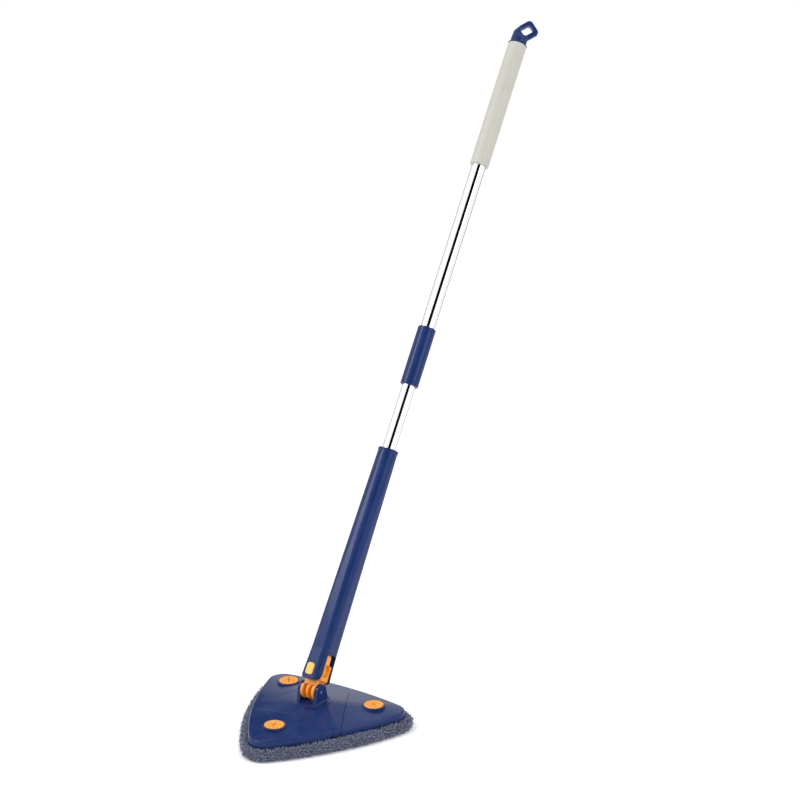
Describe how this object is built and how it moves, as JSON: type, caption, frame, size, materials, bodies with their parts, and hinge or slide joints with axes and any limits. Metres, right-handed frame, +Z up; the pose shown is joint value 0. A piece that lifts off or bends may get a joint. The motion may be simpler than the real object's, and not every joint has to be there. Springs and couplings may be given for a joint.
{
  "type": "folding triangle mop",
  "caption": "Floor mop with a triangular head whose corners fold, a two-way swivel joint with a lock button, and a telescopic pole with a twist lock, grip and hanging loop.",
  "frame": {"origin": "centre of the pad's sole, on the floor", "axes": "+Z up, -Y towards the nose corner of the head, which is the side the lock button faces, X along the pitch pin"},
  "size_m": [0.299, 0.8278, 1.1062],
  "materials": {
    "navy_plastic": "semi-gloss moulded navy plastic",
    "orange_plastic": "satin moulded orange plastic",
    "button_plastic": "satin moulded yellow-orange plastic",
    "gripper_rubber": "soft orange elastomer, slit",
    "black_plastic": "matt black moulded plastic",
    "chenille": "grey-blue chenille microfibre pile",
    "chrome_tube": "polished chromed steel tube",
    "steel": "plain steel pins, springs and screws",
    "grip_plastic": "satin warm light grey plastic",
    "white_plastic": "plain natural plastic for inner bushes and plugs"
  },
  "bodies": {
    "pole_upper": {"upper_tube": "chrome_tube", "tube_ferrule": "white_plastic", "grip": "grip_plastic", "hang_cap": "navy_plastic", "cap_rivet": "steel"},
    "collar": {"lock_collar": "navy_plastic"},
    "pole_lower": {"lower_tube": "chrome_tube", "slide_bush": "white_plastic", "tube_plug": "white_plastic", "plug_screw": "steel", "sleeve": "navy_plastic", "sleeve_bush": "white_plastic", "roll_pin": "steel", "button_seat": "white_plastic", "button_spring": "steel"},
    "button": {"lock_button": "button_plastic"},
    "yoke": {"yoke": "orange_plastic"},
    "head": {"centre_plate": "navy_plastic", "pitch_pin": "steel", "base_centre": "black_plastic", "pad_centre": "chenille", "fold_pins": "steel", "fold_springs": "steel", "screws_centre": "steel"},
    "corner_nose": {"wing_nose": "navy_plastic", "gripper_nose": "gripper_rubber", "base_nose": "black_plastic", "pad_nose": "chenille", "screws_nose": "steel"},
    "corner_right": {"wing_right": "navy_plastic", "gripper_right": "gripper_rubber", "base_right": "black_plastic", "pad_right": "chenille", "screws_right": "steel"},
    "corner_left": {"wing_left": "navy_plastic", "gripper_left": "gripper_rubber", "base_left": "black_plastic", "pad_left": "chenille", "screws_left": "steel"}
  },
  "joints": [
    {"name": "telescope_slide", "type": "slide", "parent": "pole_upper", "child": "pole_lower", "axis": [0, 0.5299, 0.848], "range_m": [0, 0.11]},
    {"name": "collar_turn", "type": "hinge", "parent": "pole_upper", "child": "collar", "pos_m": [0, 0.31106, 0.5599], "axis": [0, 0.5299, 0.848], "range_deg": [0, 90]},
    {"name": "button_press", "type": "slide", "parent": "pole_lower", "child": "button", "axis": [0, 0.848, -0.5299], "range_m": [0, 0.0025], "stiffness_N_per_m": 600, "springref_m": -0.001, "deforming": ["button_spring"]},
    {"name": "roll_swing", "type": "hinge", "parent": "pole_lower", "child": "yoke", "pos_m": [0, 0.02809, 0.10705], "axis": [0, 0.848, -0.5299], "range_deg": [-40, 40]},
    {"name": "head_pitch", "type": "hinge", "parent": "yoke", "child": "head", "pos_m": [0, 0, 0.0621], "axis": [1, 0, 0], "range_deg": [-97, 32]},
    {"name": "nose_fold", "type": "hinge", "parent": "head", "child": "corner_nose", "pos_m": [0, -0.05557, 0.019], "axis": [1, 0, 0], "range_deg": [0, 50], "stiffness_Nm_per_rad": 0.35, "springref_deg": -40.11},
    {"name": "right_fold", "type": "hinge", "parent": "head", "child": "corner_right", "pos_m": [0.04812, 0.02778, 0.019], "axis": [-0.5, 0.866, 0], "range_deg": [0, 50], "stiffness_Nm_per_rad": 0.35, "springref_deg": -40.11},
    {"name": "left_fold", "type": "hinge", "parent": "head", "child": "corner_left", "pos_m": [-0.04812, 0.02778, 0.019], "axis": [-0.5, -0.866, 0], "range_deg": [0, 50], "stiffness_Nm_per_rad": 0.35, "springref_deg": -40.11}
  ]
}
